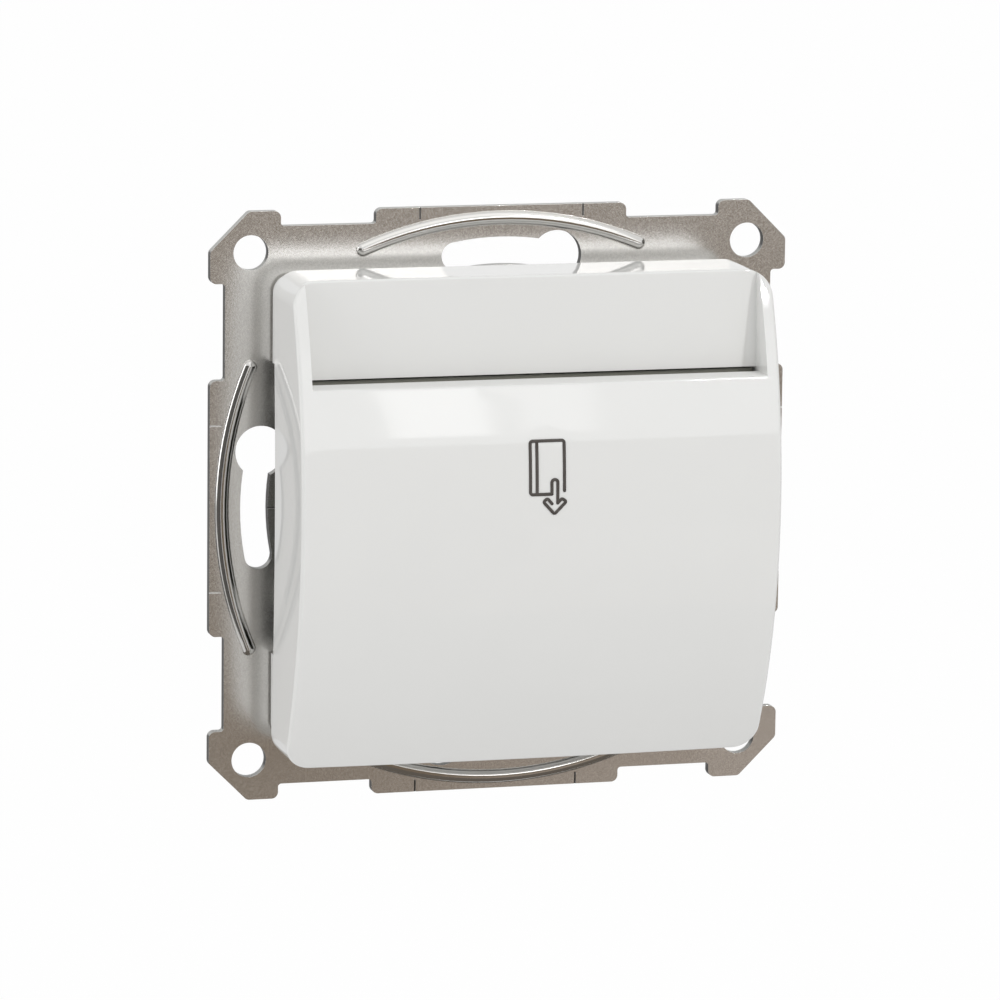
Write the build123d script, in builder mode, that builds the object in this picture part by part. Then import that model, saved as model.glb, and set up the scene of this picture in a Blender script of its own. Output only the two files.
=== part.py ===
from build123d import *
import os
from math import asin, degrees, sqrt

os.makedirs("parts", exist_ok=True)

# Axes: X runs to the right, Y into the wall and Z up, all in millimetres.
# The origin is the middle of the support frame's back face, which lies on the wall.
# A name ending in _depth is a distance in front of the wall; one ending in _behind is behind it.

# Cuts run this far past the faces that they open
overrun = 1.0
# Faces are picked by their place to within this
nearness = 0.01

# Support frame: outline
plate_width = 71.0
plate_thickness = 1.2
ear_length = 8.53
ear_chamfer = 4.69
edge_recess = 1.8
centre_tab_length = 30.86
outline_outer_radius = 0.8
outline_inner_radius = 0.4

# Support frame: corner holes, keyhole slots and marks
corner_hole_inset = 4.9
corner_hole_radius = 2.1
screw_circle_share = 0.424
slot_width = 3.35
slot_entry_radius = 3.07
slot_entry_angle = 13.1
slot_end_angle = 10.9
tick_offset = 10.04
tick_length = 1.45
centre_mark_length = 4.0
mark_width = 0.2
mark_depth = 0.12

# Support frame: stiffening ribs
rib_arc_radius = 44.0
rib_line_inset = 1.45
rib_end_offset = 17.0
rib_width = 1.7
rib_height = 0.6

# Cover: outside
cover_size = 58.2
cover_corner_radius = 3.0
rim_depth = 6.2
rim_arch_rise = 1.65
front_depth = 22.33
front_radius = 63.49
front_centre_height = 2.19
crown_radius = 650.0
front_edge_radius = 0.5
top_edge_radius = 0.3

# Cover: walls, pocket and slot
side_wall = 1.55
front_wall = 1.8
hollow_corner_radius = 1.5
pocket_top_reach = 7.53
pocket_low_reach = 6.83
pocket_back_low_height = 17.55
lip_height = 17.1
card_slot_gap = 0.85
lip_thickness = 1.6
lip_edge_radius = 0.3

# Printed symbol on the cover
stroke_width = 0.36
print_thickness = 0.08

# Carrier: floor on the frame, collar below the cover's rim and spigot inside the cover
carrier_floor_size = 50.0
carrier_floor_thickness = 1.6
collar_size = 56.2
collar_corner_radius = 2.2
collar_clearance = 0.7
spigot_clearance = 0.2
spigot_wall = 1.2
spigot_length_share = 0.68
collar_gap_length = 35.0
guide_post_x = 23.3
guide_post_z = 12.0
guide_post_radius = 2.3

# Neck of the housing, which passes through the frame and the carrier
neck_size = 41.4
neck_corner_cut = 10.8
neck_clearance = 0.3
neck_depth = 3.0

# Housing behind the frame
housing_size = 43.0
housing_corner_cut = 3.0
housing_behind = 24.0
housing_hollow_size = 38.2
housing_rear_wall = 1.6
housing_edge_share = 0.5
housing_corner_screw = 17.6
housing_corner_post_behind = 8.5

# Lid of the housing
lid_thickness = 1.4
lid_screw_x = 16.6
lid_screw_z = 6.0
lid_post_radius = 2.6
lid_post_behind = 9.0

# Card guide
guide_thickness = 1.4
guide_setback = 0.55
guide_side_clearance = 0.35
guide_top = 17.3
guide_bottom = -17.5
card_stop_height = -14.5
card_stop_thickness = 1.5
card_stop_reach = 1.55
card_stop_length = 10.0
card_stop_x = 15.0

# Slider that the card pushes down, and its track on the back of the guide
slider_travel = 5.0
plunger_travel_share = 0.2186
slider_half_width = 6.0
slider_neck_half_width = 4.2
slider_top = 1.0
slider_bottom = -12.0
slider_play = 0.15
finger_half_width = 5.0
finger_thickness = 1.6
finger_edge_share = 0.25
finger_overlap = 0.35
wedge_start_share = 0.35
wedge_low_height = -9.0
wedge_high_height = -2.0
track_wall = 1.7
track_clearance = 0.3
track_back_share = 0.339
track_lip_share = 0.131
track_top = 8.0
track_bottom = -23.5
spring_seat_thickness = 1.5

# Return spring
spring_wire_radius = 0.22
spring_coil_share = 0.82
spring_turns = 7
spring_spigot_clearance = 0.38
spring_spigot_length = 1.4

# Plunger
plunger_height = -8.0
plunger_radius = 2.0
plunger_clearance = 0.1
plunger_collar_radius = 3.2
plunger_collar_thickness = 1.2
plunger_tip_behind = 2.0
working_gap = 0.1

# Contact arm and its hinge
arm_half_width = 3.0
arm_thickness = 1.0
arm_bottom = -13.0
hinge_height = 8.0
hinge_behind = 4.0
hinge_pin_radius = 0.75
hinge_knuckle_radius = 1.6
hinge_clearance = 0.05
lug_inner_x = 3.4
lug_thickness = 2.0
lug_half_height = 2.5
lug_behind = 6.2
contact_height = -11.0
contact_radius = 1.5
contact_thickness = 0.8
fixed_contact_behind = 6.6

# Terminals
terminal_x = 9.0
terminal_from_back = 7.0
strip_thickness = 0.8
tongue_width = 7.4
tongue_from_back = 12.0
tongue_underside = -13.6
riser_width = 3.3
terminal_screw_radius = 1.5
terminal_screw_clearance = 0.1
terminal_head_radius = 2.5
terminal_head_height = 2.0
clamp_width = 5.4
clamp_length = 7.0
clamp_thickness = 1.0
clamp_open_gap = 2.6
terminal_rib_inner = 2.9
terminal_rib_thickness = 1.4
driver_hole_radius = 2.9
wire_hole_radius = 1.6

# Screws
screw_radius = 1.25
screw_hole_radius = 1.35
screw_length = 9.6
pan_head_radius = 2.2
pan_head_height = 1.4
head_edge_share = 0.333
guide_head_radius = 1.9
small_screw_radius = 1.0
small_head_radius = 1.8
small_head_height = 1.1
small_screw_length = 7.0
driver_slot_width = 0.6
driver_slot_depth = 0.6
countersink_angle = 45

# Worked out from the sizes above
plate_half = plate_width / 2
corner_hole_spacing = plate_width - 2 * corner_hole_inset
screw_circle_radius = screw_circle_share * plate_width
rib_arc_centre = rib_arc_radius + rib_line_inset - plate_half
cover_half = cover_size / 2
pocket_half = cover_half - side_wall
front_axis_behind = front_radius - front_depth
pocket_back_top_depth = front_depth - pocket_top_reach
pocket_back_low_depth = front_depth - pocket_low_reach
lip_back_depth = pocket_back_low_depth + card_slot_gap
carrier_floor_depth = plate_thickness + carrier_floor_thickness
spigot_length = spigot_length_share * (pocket_back_top_depth - side_wall - rim_depth)
guide_front_depth = pocket_back_low_depth - guide_setback
guide_back_depth = guide_front_depth - guide_thickness
guide_width = 2 * (pocket_half - guide_side_clearance)
lid_front_depth = neck_depth + lid_thickness
slider_space = guide_back_depth - lid_front_depth
track_back_depth = lid_front_depth + track_back_share * slider_space
track_lip = track_lip_share * slider_space
track_hollow = guide_back_depth - track_back_depth - track_lip
finger_top = card_stop_height + slider_travel
finger_front_depth = lip_back_depth + finger_overlap
plunger_travel = plunger_travel_share * slider_space
wedge_low_depth = lid_front_depth + wedge_start_share * slider_space
wedge_slope = plunger_travel / slider_travel
spring_axis_depth = guide_back_depth - track_hollow / 2
spring_coil_radius = spring_coil_share * track_hollow / 2
spring_spigot_radius = spring_coil_radius - spring_wire_radius - spring_spigot_clearance
terminal_behind = housing_behind - terminal_from_back
tongue_front_behind = housing_behind - tongue_from_back
tongue_top = tongue_underside + strip_thickness
clamp_top = tongue_underside - clamp_open_gap
terminal_head_top = clamp_top - clamp_thickness
arm_front_behind = plunger_tip_behind + working_gap


def eight_sided(size, corner_cut):
    """Corners of a square with its corners cut off, anticlockwise."""
    half = size / 2
    near = half - corner_cut
    return [
        (half, -near), (half, near), (near, half), (-near, half),
        (-half, near), (-half, -near), (-near, -half), (near, -half),
    ]


def front_form(growth):
    """Solid whose skin is the cover's bulged front, moved outwards by the growth.

    The profile that is turned lies behind the axis, so no seam crosses the front.
    """
    half = cover_half + overrun
    crown_fall = crown_radius - sqrt(crown_radius**2 - half**2)
    middle = front_axis_behind + front_radius + growth
    edge = middle - crown_fall
    with BuildPart() as form:
        with BuildSketch(Plane.XY.offset(front_centre_height)):
            with BuildLine():
                crown = ThreePointArc((-half, edge), (0, middle), (half, edge))
                Polyline(crown @ 1, (half, front_axis_behind), (-half, front_axis_behind), crown @ 0)
            make_face()
        revolve(axis=Axis((0, front_axis_behind, front_centre_height), (1, 0, 0)))
    return form.part


def sunk_screw(x, z, seat_depth, radius, length, head_radius):
    """Countersunk screw that points into the wall, its head flush with the seat depth."""
    cone = head_radius - radius
    with BuildPart() as screw:
        with BuildSketch(Plane.XZ.offset(seat_depth - length)):
            with Locations((x, z)):
                Circle(radius)
        extrude(amount=length)
        with BuildSketch(Plane.XZ.offset(seat_depth)):
            with Locations((x, z)):
                Circle(head_radius)
        extrude(amount=-cone, taper=countersink_angle)
        with BuildSketch(Plane.XZ.offset(seat_depth)):
            with Locations((x, z)):
                Rectangle(2 * head_radius, driver_slot_width)
        extrude(amount=-driver_slot_depth, mode=Mode.SUBTRACT)
    return screw.part


def pan_screw(x, z, seat_depth, radius, length, head_radius, head_height):
    """Pan head screw that points into the wall, the underside of its head at the seat depth."""
    with BuildPart() as screw:
        with BuildSketch(Plane.XZ.offset(seat_depth - length)):
            with Locations((x, z)):
                Circle(radius)
        extrude(amount=length)
        with BuildSketch(Plane.XZ.offset(seat_depth)):
            with Locations((x, z)):
                Circle(head_radius)
        extrude(amount=head_height)
        fillet(screw.edges().sort_by(Axis.Y)[0], head_edge_share * head_height)
        with BuildSketch(Plane.XZ.offset(seat_depth + head_height)):
            with Locations((x, z)):
                Rectangle(2 * head_radius, driver_slot_width)
        extrude(amount=-driver_slot_depth, mode=Mode.SUBTRACT)
    return screw.part


# The hole in the frame and in the carrier that the housing's neck passes through
neck_opening = eight_sided(neck_size + 2 * neck_clearance, neck_corner_cut)

# Rib of the frame: the top one, as a round bar along an arc that is partly sunk in the plate
rib_section_radius = ((rib_width / 2) ** 2 + rib_height**2) / (2 * rib_height)
rib_axis_depth = plate_thickness - (rib_section_radius - rib_height)
rib_half_angle = degrees(asin(rib_end_offset / rib_arc_radius))
with BuildPart() as rib_form:
    with BuildLine(Plane.XZ.offset(rib_axis_depth)) as rib_path:
        CenterArc((0, -rib_arc_centre), rib_arc_radius, 90 - rib_half_angle, 2 * rib_half_angle)
    rib_line = rib_path.line
    with BuildSketch(Plane(rib_line @ 0, z_dir=rib_line % 0)):
        Circle(rib_section_radius)
    sweep(path=rib_line)
    with Locations(rib_line @ 0, rib_line @ 1):
        Sphere(rib_section_radius)

# Support frame
recess_length = plate_half - ear_length - centre_tab_length / 2
recess_centre = centre_tab_length / 2 + recess_length / 2
slot_lines = [
    CenterArc((0, 0), screw_circle_radius, turn - slot_entry_angle, slot_entry_angle + slot_end_angle)
    for turn in (0, 90, 180, 270)
]
with BuildPart() as support_frame:
    with BuildSketch(Plane.XZ) as frame_outline:
        Rectangle(plate_width, plate_width)
        chamfer(frame_outline.vertices(), ear_chamfer)
        with GridLocations(2 * recess_centre, plate_width, 2, 2):
            Rectangle(recess_length, 2 * edge_recess, mode=Mode.SUBTRACT)
        with GridLocations(plate_width, 2 * recess_centre, 2, 2):
            Rectangle(2 * edge_recess, recess_length, mode=Mode.SUBTRACT)
        inner_corners = frame_outline.vertices().filter_by(
            lambda corner: max(abs(corner.X), abs(corner.Y)) < plate_half - edge_recess / 2
        )
        fillet(inner_corners, outline_inner_radius)
        outer_corners = frame_outline.vertices().filter_by(
            lambda corner: max(abs(corner.X), abs(corner.Y)) > plate_half - mark_depth
        )
        fillet(outer_corners, outline_outer_radius)
        Polygon(*neck_opening, align=None, mode=Mode.SUBTRACT)
        with GridLocations(corner_hole_spacing, corner_hole_spacing, 2, 2):
            Circle(corner_hole_radius, mode=Mode.SUBTRACT)
        with GridLocations(2 * housing_corner_screw, 2 * housing_corner_screw, 2, 2):
            Circle(screw_hole_radius, mode=Mode.SUBTRACT)
        for slot_line in slot_lines:
            SlotArc(slot_line, slot_width, mode=Mode.SUBTRACT)
        with PolarLocations(screw_circle_radius, 4, start_angle=-slot_entry_angle):
            Circle(slot_entry_radius, mode=Mode.SUBTRACT)
    extrude(amount=plate_thickness)
    for turn in (0, 90, 180, 270):
        turned_rib = rib_form.part.rotate(Axis.Y, turn)
        add(turned_rib)
        add(turned_rib.moved(Location((0, plate_thickness, 0))), mode=Mode.SUBTRACT)
    tick_centre = plate_half - tick_length / 2
    centre_mark_middle = screw_circle_radius - slot_width / 2 - centre_mark_length / 2
    with BuildSketch(Plane.XZ.offset(plate_thickness)):
        with GridLocations(2 * tick_offset, 2 * tick_centre, 2, 2):
            Rectangle(mark_width, tick_length)
        with GridLocations(2 * tick_centre, 2 * tick_offset, 2, 2):
            Rectangle(tick_length, mark_width)
        with GridLocations(2 * centre_mark_middle, 0, 2, 1):
            Rectangle(centre_mark_length, mark_width)
    extrude(amount=-mark_depth, mode=Mode.SUBTRACT)

# Cover: the hollow inside it, which leaves the pocket's back wall and the lip standing
back_lean = (pocket_back_low_depth - pocket_back_top_depth) / (cover_half - pocket_back_low_height)
pocket_ceiling = cover_half + overrun
pocket_back_ceiling_depth = pocket_back_top_depth - back_lean * overrun
far_front_depth = front_depth + overrun
inner_front = front_form(-front_wall)
with BuildPart() as cover_hollow:
    with BuildSketch(Plane.XZ.offset(rim_depth - overrun)):
        RectangleRounded(2 * pocket_half, 2 * pocket_half, hollow_corner_radius)
    extrude(amount=front_depth)
    add(inner_front, mode=Mode.INTERSECT)
    with BuildSketch(Plane.YZ):
        Polygon(
            (side_wall - pocket_back_ceiling_depth, pocket_ceiling),
            (side_wall - pocket_back_low_depth, pocket_back_low_height),
            (-lip_back_depth, pocket_back_low_height),
            (-lip_back_depth, lip_height - lip_thickness),
            (-far_front_depth, lip_height - lip_thickness),
            (-far_front_depth, pocket_ceiling),
            align=None,
        )
    extrude(amount=cover_half, both=True, mode=Mode.SUBTRACT)

# Cover
outer_front = front_form(0)
rim_arch_radius = (cover_half**2 + rim_arch_rise**2) / (2 * rim_arch_rise)
with BuildPart() as card_cover:
    with BuildSketch(Plane.XZ.offset(rim_depth)):
        RectangleRounded(cover_size, cover_size, cover_corner_radius)
    extrude(amount=far_front_depth - rim_depth)
    add(outer_front, mode=Mode.INTERSECT)
    fillet(card_cover.faces().sort_by(Axis.Y)[0].edges(), front_edge_radius)
    with BuildSketch(Plane.YZ):
        Polygon(
            (-pocket_back_ceiling_depth, pocket_ceiling),
            (-pocket_back_low_depth, pocket_back_low_height),
            (-pocket_back_low_depth, lip_height),
            (-far_front_depth, lip_height),
            (-far_front_depth, pocket_ceiling),
            align=None,
        )
    extrude(amount=pocket_half, both=True, mode=Mode.SUBTRACT)
    add(cover_hollow.part, mode=Mode.SUBTRACT)
    with BuildSketch(Plane.YZ):
        with Locations((rim_arch_radius - rim_depth - rim_arch_rise, 0)):
            Circle(rim_arch_radius)
    extrude(amount=cover_size, both=True, mode=Mode.SUBTRACT)
    level_faces = card_cover.faces().filter_by(Axis.Z)
    lip_face = level_faces.filter_by_position(Axis.Z, lip_height - nearness, lip_height + nearness)[0]
    fillet(lip_face.edges().sort_by(Axis.Y)[0], lip_edge_radius)
    top_face = card_cover.faces().sort_by(Axis.Z)[-1]
    fillet(top_face.edges().filter_by(Axis.X).sort_by(Axis.Y)[0], top_edge_radius)

# Symbol on the cover: a card outline with its stripe, and an outlined arrow that points down
card_left, card_right, card_low, card_high = -1.94, 2.17, 4.35, 10.6
stripe_x = -1.14
shaft_left, shaft_right, shaft_high, shaft_low = 0.65, 1.36, 6.05, 3.28
card_corner, shaft_corner, arrow_corner = 0.3, 0.34, 0.22
card_line = FilletPolyline(
    (card_right, 4.72), (card_right, card_high), (card_left, card_high), (card_left, card_low),
    (shaft_left, card_low), radius=card_corner,
)
stripe_line = Line((stripe_x, card_low), (stripe_x, card_high))
shaft_line = FilletPolyline(
    (shaft_left, card_low), (shaft_left, shaft_high), (shaft_right, shaft_high), (shaft_right, shaft_low),
    radius=shaft_corner,
)
head_line = FilletPolyline(
    (shaft_right, shaft_low), (1.87, 3.8), (2.42, 3.44), (0.98, 1.98), (-0.39, 3.48), (0.12, 3.85),
    (0.66, 3.22), radius=arrow_corner,
)
print_skin = front_form(print_thickness)
with BuildPart() as card_symbol:
    with BuildSketch(Plane.XZ.offset(lip_back_depth)):
        for symbol_line in (card_line, stripe_line, shaft_line, head_line):
            SlotArc(symbol_line, stroke_width)
    extrude(amount=far_front_depth - lip_back_depth)
    add(print_skin, mode=Mode.INTERSECT)
    add(outer_front, mode=Mode.SUBTRACT)

# Carrier: it rests on the frame, and the cover is pushed over its spigot
spigot_size = 2 * (pocket_half - spigot_clearance)
spigot_hollow_size = spigot_size - 2 * spigot_wall
collar_depth = plate_thickness + collar_clearance
with BuildPart() as cover_carrier:
    with BuildSketch(Plane.XZ.offset(plate_thickness)):
        Rectangle(carrier_floor_size, carrier_floor_size)
    extrude(amount=carrier_floor_thickness)
    with BuildSketch(Plane.XZ.offset(collar_depth)):
        RectangleRounded(collar_size, collar_size, collar_corner_radius)
    extrude(amount=rim_depth - collar_depth)
    with BuildSketch(Plane.XZ.offset(rim_depth)):
        RectangleRounded(spigot_size, spigot_size, hollow_corner_radius)
    extrude(amount=spigot_length)
    with BuildSketch(Plane.XZ.offset(carrier_floor_depth)):
        Rectangle(spigot_hollow_size, spigot_hollow_size)
    extrude(amount=rim_depth + spigot_length, mode=Mode.SUBTRACT)
    with BuildSketch(Plane.XZ.offset(plate_thickness)):
        with GridLocations(carrier_floor_size + collar_size, 0, 2, 1):
            Rectangle(collar_size, collar_gap_length)
    extrude(amount=rim_depth + spigot_length, mode=Mode.SUBTRACT)
    with BuildSketch(Plane.XZ.offset(plate_thickness)):
        Polygon(*neck_opening, align=None)
        with GridLocations(2 * housing_corner_screw, 2 * housing_corner_screw, 2, 2):
            Circle(screw_hole_radius)
    extrude(amount=carrier_floor_thickness, mode=Mode.SUBTRACT)
    with BuildSketch(Plane.XZ.offset(plate_thickness)):
        with GridLocations(2 * guide_post_x, 2 * guide_post_z, 2, 2):
            Circle(guide_post_radius)
    extrude(amount=guide_back_depth - plate_thickness)
    with BuildSketch(Plane.XZ.offset(guide_front_depth)):
        with GridLocations(2 * guide_post_x, 2 * guide_post_z, 2, 2):
            Circle(small_screw_radius)
    extrude(amount=-small_screw_length, mode=Mode.SUBTRACT)

# Card guide: the plate behind the card, with the slider's track on its back
track_inner = slider_half_width + track_clearance
track_outer = track_inner + track_wall
sunk_cone = guide_head_radius - small_screw_radius
finger_way = finger_top + track_clearance - guide_bottom + overrun
with BuildPart() as card_guide:
    with BuildSketch(Plane.XZ.offset(guide_back_depth)):
        with Locations((0, guide_bottom)):
            Rectangle(guide_width, guide_top - guide_bottom, align=(Align.CENTER, Align.MIN))
    extrude(amount=guide_thickness)
    with BuildSketch(Plane.XZ.offset(track_back_depth)):
        with Locations((0, track_bottom)):
            Rectangle(2 * track_outer, track_top - track_bottom, align=(Align.CENTER, Align.MIN))
    extrude(amount=guide_back_depth - track_back_depth)
    with BuildSketch(Plane.XZ.offset(track_back_depth + track_lip)):
        with Locations((0, track_bottom + spring_seat_thickness)):
            Rectangle(2 * track_inner, track_top - track_bottom, align=(Align.CENTER, Align.MIN))
    extrude(amount=track_hollow, mode=Mode.SUBTRACT)
    with BuildSketch(Plane.XZ.offset(track_back_depth)):
        with Locations((0, track_bottom + spring_seat_thickness)):
            Rectangle(2 * (slider_neck_half_width + track_clearance), track_top - track_bottom,
                      align=(Align.CENTER, Align.MIN))
    extrude(amount=track_lip, mode=Mode.SUBTRACT)
    with BuildSketch(Plane.XZ.offset(guide_back_depth)):
        with Locations((0, guide_bottom - overrun)):
            Rectangle(2 * (finger_half_width + track_clearance), finger_way, align=(Align.CENTER, Align.MIN))
    extrude(amount=guide_thickness, mode=Mode.SUBTRACT)
    with BuildSketch(Plane.XZ.offset(guide_front_depth)):
        with GridLocations(2 * card_stop_x, 0, 2, 1):
            with Locations((0, card_stop_height)):
                Rectangle(card_stop_length, card_stop_thickness, align=(Align.CENTER, Align.MAX))
    extrude(amount=card_stop_reach)
    with BuildSketch(Plane.XY.offset(track_bottom + spring_seat_thickness)):
        with Locations((0, -spring_axis_depth)):
            Circle(spring_spigot_radius)
    extrude(amount=spring_spigot_length)
    with BuildSketch(Plane.XZ.offset(guide_back_depth)):
        with GridLocations(2 * guide_post_x, 2 * guide_post_z, 2, 2):
            Circle(small_screw_radius)
    extrude(amount=guide_thickness, mode=Mode.SUBTRACT)
    with BuildSketch(Plane.XZ.offset(guide_front_depth)):
        with GridLocations(2 * guide_post_x, 2 * guide_post_z, 2, 2):
            Circle(guide_head_radius)
    extrude(amount=-sunk_cone, taper=countersink_angle, mode=Mode.SUBTRACT)

# Screws of the guide, four in one node
guide_screws = Compound(children=[
    sunk_screw(x, z, guide_front_depth, small_screw_radius, small_screw_length, guide_head_radius)
    for x in (-guide_post_x, guide_post_x)
    for z in (-guide_post_z, guide_post_z)
])

# Screws that clamp the carrier and the frame to the housing, four in one node
carrier_screws = Compound(children=[
    pan_screw(x, z, carrier_floor_depth, screw_radius, screw_length, pan_head_radius, pan_head_height)
    for x in (-housing_corner_screw, housing_corner_screw)
    for z in (-housing_corner_screw, housing_corner_screw)
])

# Screws of the lid, four in one node
lid_screws = Compound(children=[
    pan_screw(x, z, lid_front_depth, small_screw_radius, small_screw_length, small_head_radius,
              small_head_height)
    for x in (-lid_screw_x, lid_screw_x)
    for z in (-lid_screw_z, lid_screw_z)
])

# Slider: finger under the card, body in the track and wedge that drives the plunger
slider_front_depth = guide_back_depth - slider_play
wedge_high_depth = wedge_low_depth - wedge_slope * (wedge_high_height - wedge_low_height)
slider_step_gap_depth = track_back_depth + track_lip + slider_play
with BuildPart() as card_slider:
    with BuildSketch(Plane.XZ.offset(slider_step_gap_depth)):
        with Locations((0, slider_bottom)):
            Rectangle(2 * slider_half_width, slider_top - slider_bottom, align=(Align.CENTER, Align.MIN))
    extrude(amount=slider_front_depth - slider_step_gap_depth)
    with BuildSketch(Plane.YZ):
        Polygon(
            (-slider_step_gap_depth, slider_bottom),
            (-wedge_low_depth, slider_bottom),
            (-wedge_low_depth, wedge_low_height),
            (-wedge_high_depth, wedge_high_height),
            (-wedge_high_depth, slider_top),
            (-slider_step_gap_depth, slider_top),
            align=None,
        )
    extrude(amount=slider_neck_half_width, both=True)
    with BuildSketch(Plane.XZ.offset(slider_front_depth)):
        with Locations((0, finger_top)):
            Rectangle(2 * finger_half_width, finger_thickness, align=(Align.CENTER, Align.MAX))
    extrude(amount=finger_front_depth - slider_front_depth)
    fillet(card_slider.edges().filter_by(Axis.X).group_by(Axis.Y)[0], finger_edge_share * finger_thickness)
    with BuildSketch(Plane.XY.offset(slider_bottom)):
        with Locations((0, -spring_axis_depth)):
            Circle(spring_spigot_radius)
    extrude(amount=-spring_spigot_length)

# Return spring, between the seat of the track and the slider
spring_low = track_bottom + spring_seat_thickness + spring_wire_radius
spring_high = slider_bottom - spring_wire_radius
with BuildPart() as return_spring:
    with BuildLine():
        spring_line = Helix(
            pitch=(spring_high - spring_low) / spring_turns,
            height=spring_high - spring_low,
            radius=spring_coil_radius,
            center=(0, -spring_axis_depth, spring_low),
        )
    with BuildSketch(Plane(spring_line @ 0, z_dir=spring_line % 0)):
        Circle(spring_wire_radius)
    sweep(path=spring_line, is_frenet=True)

# Plunger: a pin with two domed ends and a collar that keeps it behind the lid
wedge_at_plunger_depth = wedge_low_depth - wedge_slope * (plunger_height - wedge_low_height)
slope_length = sqrt(1 + wedge_slope**2)
front_dome_depth = wedge_at_plunger_depth - (plunger_radius + working_gap) * slope_length
rear_dome_depth = plunger_radius - plunger_tip_behind
collar_front_depth = neck_depth - working_gap
with BuildPart() as plunger:
    with BuildSketch(Plane.XZ.offset(rear_dome_depth)):
        with Locations((0, plunger_height)):
            Circle(plunger_radius)
    extrude(amount=front_dome_depth - rear_dome_depth)
    with Locations((0, -front_dome_depth, plunger_height), (0, -rear_dome_depth, plunger_height)):
        Sphere(plunger_radius)
    with BuildSketch(Plane.XZ.offset(collar_front_depth - plunger_collar_thickness)):
        with Locations((0, plunger_height)):
            Circle(plunger_collar_radius)
    extrude(amount=plunger_collar_thickness)

# Lid of the housing, with the two lugs that carry the contact arm's pin
with BuildPart() as housing_lid:
    with BuildSketch(Plane.XZ.offset(neck_depth)):
        Polygon(*eight_sided(neck_size, neck_corner_cut), align=None)
    extrude(amount=lid_thickness)
    for side in (-1, 1):
        with BuildSketch(Plane.YZ.offset(side * lug_inner_x)):
            with Locations((-neck_depth, hinge_height)):
                Rectangle(neck_depth + lug_behind, 2 * lug_half_height, align=(Align.MIN, Align.CENTER))
            with Locations((hinge_behind, hinge_height)):
                Circle(hinge_pin_radius, mode=Mode.SUBTRACT)
        extrude(amount=side * lug_thickness)
    with BuildSketch(Plane.XZ.offset(neck_depth)):
        with Locations((0, plunger_height)):
            Circle(plunger_radius + plunger_clearance)
        with GridLocations(2 * lid_screw_x, 2 * lid_screw_z, 2, 2):
            Circle(small_screw_radius)
    extrude(amount=lid_thickness, mode=Mode.SUBTRACT)

# Housing: neck through the frame, body behind it, posts and ribs inside
rib_offset = terminal_rib_inner + terminal_rib_thickness / 2
hollow_floor = -housing_hollow_size / 2
rear_wall_behind = housing_behind - housing_rear_wall
with BuildPart() as base_housing:
    with BuildSketch(Plane.XZ.offset(-housing_behind)):
        Polygon(*eight_sided(housing_size, housing_corner_cut), align=None)
    extrude(amount=housing_behind)
    fillet(base_housing.edges().sort_by(Axis.Y)[-8:], housing_edge_share * housing_rear_wall)
    with BuildSketch(Plane.XZ):
        Polygon(*eight_sided(neck_size, neck_corner_cut), align=None)
    extrude(amount=neck_depth)
    with BuildSketch(Plane.XZ.offset(-rear_wall_behind)):
        Polygon(*eight_sided(housing_hollow_size, housing_corner_cut), align=None)
    extrude(amount=rear_wall_behind - housing_corner_post_behind, mode=Mode.SUBTRACT)
    with BuildSketch(Plane.XZ.offset(-housing_corner_post_behind)):
        Polygon(*eight_sided(housing_hollow_size, neck_corner_cut), align=None)
    extrude(amount=housing_corner_post_behind + neck_depth, mode=Mode.SUBTRACT)
    with BuildSketch(Plane.XZ.offset(-lid_post_behind)):
        with GridLocations(2 * lid_screw_x, 2 * lid_screw_z, 2, 2):
            Circle(lid_post_radius)
    extrude(amount=lid_post_behind + neck_depth)
    with BuildSketch(Plane.XZ.offset(neck_depth)):
        with GridLocations(2 * lid_screw_x, 2 * lid_screw_z, 2, 2):
            Circle(small_screw_radius)
    extrude(amount=lid_thickness - small_screw_length, mode=Mode.SUBTRACT)
    with BuildSketch(Plane.XZ.offset(carrier_floor_depth - screw_length)):
        with GridLocations(2 * housing_corner_screw, 2 * housing_corner_screw, 2, 2):
            Circle(screw_radius)
    extrude(amount=screw_length, mode=Mode.SUBTRACT)
    for side in (-1, 1):
        with BuildSketch(Plane.XZ.offset(-rear_wall_behind)):
            for rib_side in (-1, 1):
                with Locations((side * terminal_x + rib_side * rib_offset, hollow_floor)):
                    Rectangle(terminal_rib_thickness, tongue_underside - hollow_floor,
                              align=(Align.CENTER, Align.MIN))
        extrude(amount=rear_wall_behind - tongue_front_behind)
    with BuildSketch(Plane.XY.offset(-housing_size / 2 - overrun)):
        with GridLocations(2 * terminal_x, 0, 2, 1):
            with Locations((0, terminal_behind)):
                Circle(driver_hole_radius)
    extrude(amount=housing_size / 2 + overrun + hollow_floor, mode=Mode.SUBTRACT)
    with BuildSketch(Plane.XZ.offset(-housing_behind)):
        with GridLocations(2 * terminal_x, 0, 2, 1):
            with Locations((0, (clamp_top + tongue_underside) / 2)):
                Circle(wire_hole_radius)
    extrude(amount=housing_rear_wall, mode=Mode.SUBTRACT)

# Contact arm: a strip that hangs from the pin, with a knuckle around it
with BuildPart() as contact_arm:
    with BuildSketch(Plane.YZ):
        with Locations((arm_front_behind, arm_bottom)):
            Rectangle(arm_thickness, hinge_height - arm_bottom, align=(Align.MIN, Align.MIN))
        with Locations((hinge_behind, hinge_height)):
            Circle(hinge_knuckle_radius)
            Circle(hinge_pin_radius + hinge_clearance, mode=Mode.SUBTRACT)
    extrude(amount=arm_half_width, both=True)

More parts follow.
